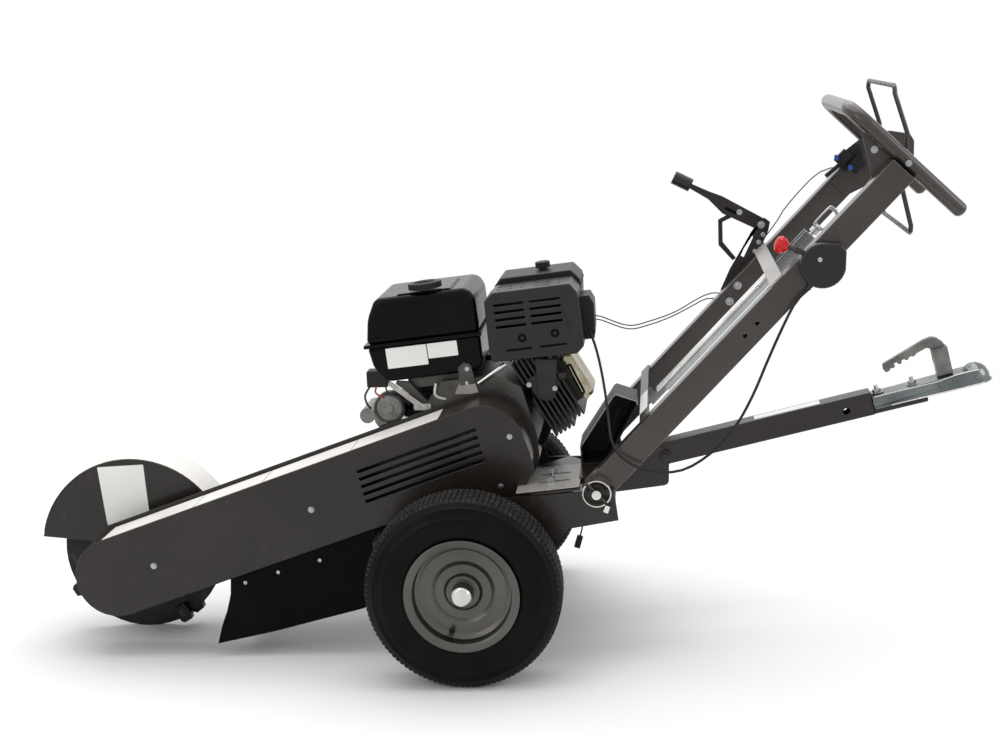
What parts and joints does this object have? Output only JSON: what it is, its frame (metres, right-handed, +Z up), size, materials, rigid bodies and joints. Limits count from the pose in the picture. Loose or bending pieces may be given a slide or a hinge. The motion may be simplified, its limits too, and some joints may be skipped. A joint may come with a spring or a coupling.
{
  "type": "stump grinder",
  "caption": "Tow-behind petrol stump grinder: belt-driven cutter disc under a hood, engine, road wheels, folding handlebar with bail, and tow bar with ball coupler.",
  "frame": {"origin": "on the ground, on the centre plane, at mid length of the machine without its cables", "axes": "+X from the cutter towards the tow coupler, -Y the belt-guard side, +Z up"},
  "size_m": [2.1208, 0.8286, 1.1828],
  "materials": {
    "graphite_paint": "semi-gloss, fine texture",
    "tyre_rubber": "matt black with moulded tread",
    "rim_enamel": "silver-grey enamel",
    "rubber": "matt black",
    "bright_steel": "machined",
    "cutter_steel": "black, worn",
    "cast_alloy": "as cast",
    "black_alloy": "black heat-proof coating",
    "yellow_zinc": "yellow passivated",
    "gloss_black": "high gloss",
    "black_plastic": "satin black",
    "yellow_plastic": "yellow",
    "red_plastic": "glossy red",
    "dark_steel": "dark plated steel",
    "zinc_plate": "bright bluish zinc plate"
  },
  "bodies": {
    "machine": {"air_cleaner": "black_plastic", "axle": "bright_steel", "belt_guard": "graphite_paint", "boom": "graphite_paint", "chassis_frame": "graphite_paint", "control_tower": "black_plastic", "coupler_body": "zinc_plate", "coupler_post": "zinc_plate", "cutter_hood": "graphite_paint", "drive_belt": "rubber", "engine_crankcase": "cast_alloy", "engine_cylinder": "black_alloy", "fan_housing": "black_plastic", "fuel_tank": "gloss_black", "guard_backplate": "graphite_paint", "intake_elbow": "black_plastic", "kill_wire_lower": "rubber", "kill_wire_upper": "rubber", "muffler_guard": "graphite_paint", "pigtail_cord": "rubber", "pigtail_plug": "black_plastic", "skirt_far": "graphite_paint", "skirt_near": "graphite_paint", "starter_motor": "bright_steel", "throttle_cable": "rubber", "tow_bar": "graphite_paint", "tow_bracket": "graphite_paint", "valve_cover": "yellow_zinc"},
    "near_wheel": {"tyre_near": "tyre_rubber", "rim_near": "rim_enamel"},
    "far_wheel": {"tyre_far": "tyre_rubber", "rim_far": "rim_enamel"},
    "crank": {"crankshaft": "bright_steel"},
    "cutter": {"cutter_disc": "cutter_steel", "cutter_shaft": "bright_steel"},
    "cap": {"fuel_cap": "black_plastic"},
    "air_knob": {"air_cleaner_knob": "black_plastic"},
    "oil_cap": {"dipstick": "yellow_plastic"},
    "curtain": {"rubber_flap": "rubber"},
    "handlebar": {"handle_tube_near": "graphite_paint", "handle_tube_far": "graphite_paint", "cross_brace_lower": "graphite_paint", "cross_brace_upper": "graphite_paint", "gusset_near": "graphite_paint", "gusset_far": "graphite_paint", "loop_handle": "graphite_paint", "switch_box": "black_plastic", "switch_wire": "rubber", "throttle_housing": "black_plastic", "brake_bracket": "graphite_paint", "latch_strut": "zinc_plate", "latch_bracket": "zinc_plate"},
    "bail": {"operator_bail": "dark_steel"},
    "throttle": {"throttle_lever": "dark_steel", "throttle_knob": "red_plastic"},
    "brake": {"brake_lever": "graphite_paint"},
    "latch": {"latch_rod": "zinc_plate"},
    "coupler_lever": {"coupler_handle": "zinc_plate"}
  },
  "joints": [
    {"name": "near_wheel_spin", "type": "hinge", "parent": "machine", "child": "near_wheel", "pos_m": [-0.05745, -0.35, 0.2032], "axis": [0, 1, 0], "continuous": true},
    {"name": "far_wheel_spin", "type": "hinge", "parent": "machine", "child": "far_wheel", "pos_m": [-0.05745, 0.35, 0.2032], "axis": [0, 1, 0], "continuous": true},
    {"name": "crank_spin", "type": "hinge", "parent": "machine", "child": "crank", "pos_m": [-0.02745, 0, 0.47], "axis": [0, 1, 0], "continuous": true},
    {"name": "cutter_spin", "type": "hinge", "parent": "machine", "child": "cutter", "pos_m": [-0.84445, 0, 0.1845], "axis": [0, 1, 0], "continuous": true},
    {"name": "fuel_cap_turn", "type": "hinge", "parent": "machine", "child": "cap", "pos_m": [-0.14617, -0.074, 0.78487], "axis": [-0.0958, 0, 0.9954], "range_deg": [-90, 0]},
    {"name": "air_knob_turn", "type": "hinge", "parent": "machine", "child": "air_knob", "pos_m": [0.09951, 0.06, 0.79999], "axis": [-0.0958, 0, 0.9954], "continuous": true},
    {"name": "dipstick_turn", "type": "hinge", "parent": "machine", "child": "oil_cap", "pos_m": [0.06819, -0.075, 0.41893], "axis": [0.9954, 0, 0.0958], "continuous": true},
    {"name": "flap_swing", "type": "hinge", "parent": "machine", "child": "curtain", "pos_m": [-0.55045, 0, 0.129], "axis": [0, 1, 0], "range_deg": [-15, 15], "stiffness_Nm_per_rad": 2},
    {"name": "handlebar_pivot", "type": "hinge", "parent": "machine", "child": "handlebar", "pos_m": [0.21655, 0, 0.38], "axis": [0, 1, 0], "range_deg": [0, 15]},
    {"name": "bail_rock", "type": "hinge", "parent": "handlebar", "child": "bail", "pos_m": [0.8445, 0, 1.03545], "axis": [0, 1, 0], "range_deg": [0, 12], "stiffness_Nm_per_rad": 3, "springref_deg": -2.86},
    {"name": "throttle_turn", "type": "hinge", "parent": "handlebar", "child": "throttle", "pos_m": [0.66955, -0.2703, 0.85], "axis": [0, 1, 0], "range_deg": [-20, 20]},
    {"name": "brake_pull", "type": "hinge", "parent": "handlebar", "child": "brake", "pos_m": [0.59055, 0.2636, 0.86], "axis": [0, 1, 0], "range_deg": [0, 25]},
    {"name": "latch_pull", "type": "slide", "parent": "handlebar", "child": "latch", "axis": [0.6953, 0, 0.7187], "range_m": [0, 0.015], "stiffness_N_per_m": 400, "springref_m": -0.005},
    {"name": "coupler_lever", "type": "hinge", "parent": "machine", "child": "coupler_lever", "pos_m": [0.95394, 0, 0.60799], "axis": [0, 1, 0], "range_deg": [0, 60]}
  ],
  "couplings": [
    {"joint": "crank_spin", "follows": "cutter_spin", "ratio": 1.2222}
  ]
}
